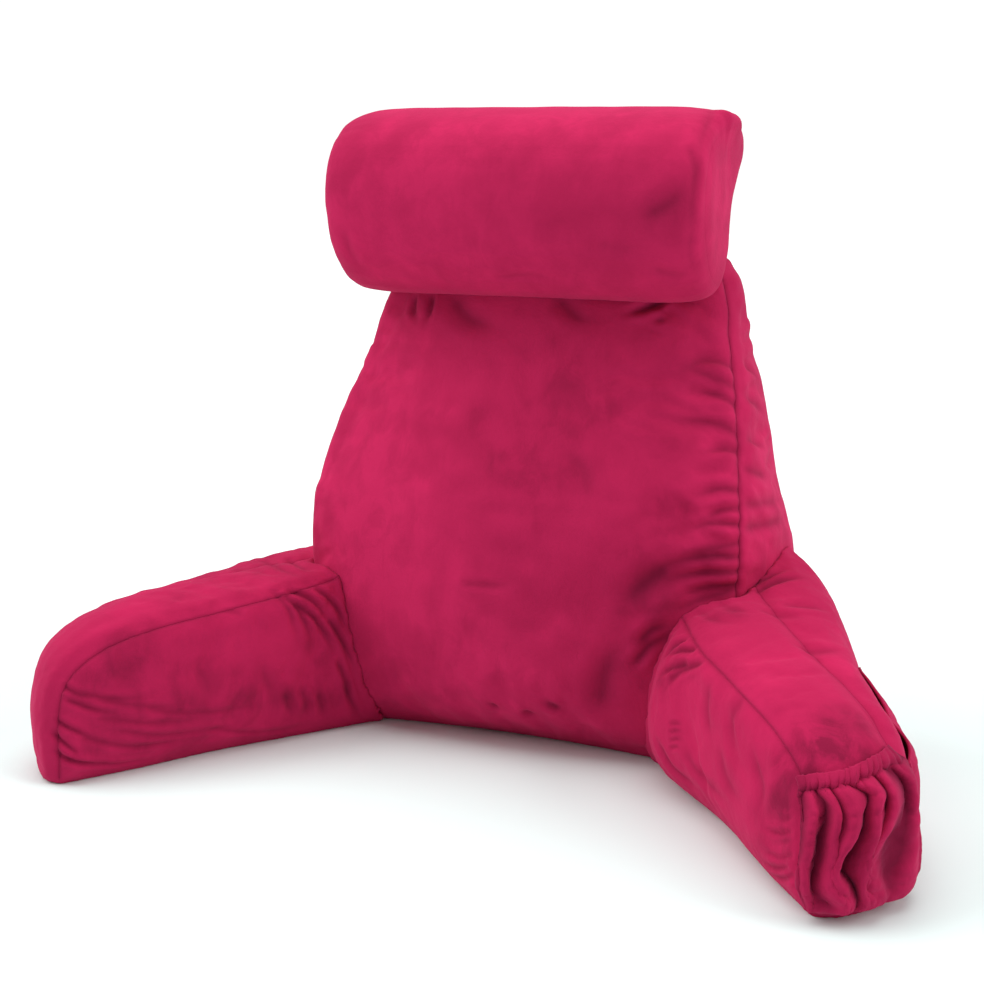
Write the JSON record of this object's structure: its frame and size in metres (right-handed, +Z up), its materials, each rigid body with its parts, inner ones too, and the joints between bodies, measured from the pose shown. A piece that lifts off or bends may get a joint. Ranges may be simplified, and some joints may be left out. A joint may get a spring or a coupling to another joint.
{
  "type": "reading pillow with arms",
  "caption": "Stuffed velour backrest pillow with two splayed arm cushions, a neck roll across the top and cloth pockets on one arm.",
  "frame": {"origin": "under the middle of the whole pillow's box, on the surface that it stands on", "axes": "+Z up, +X to the right of someone who faces the pillow, and the sitter looks along -Y"},
  "size_m": [0.9619, 0.5141, 0.7104],
  "materials": {
    "back_velour": "short-pile velour",
    "arm_velour": "short-pile velour",
    "roll_velour": "short-pile velour",
    "pocket_velour": "short-pile velour"
  },
  "bodies": {
    "root": {"back_cushion": "back_velour", "left_arm": "arm_velour", "right_arm": "arm_velour", "neck_roll": "roll_velour", "end_pocket": "pocket_velour", "side_pocket": "pocket_velour"}
  },
  "joints": []
}
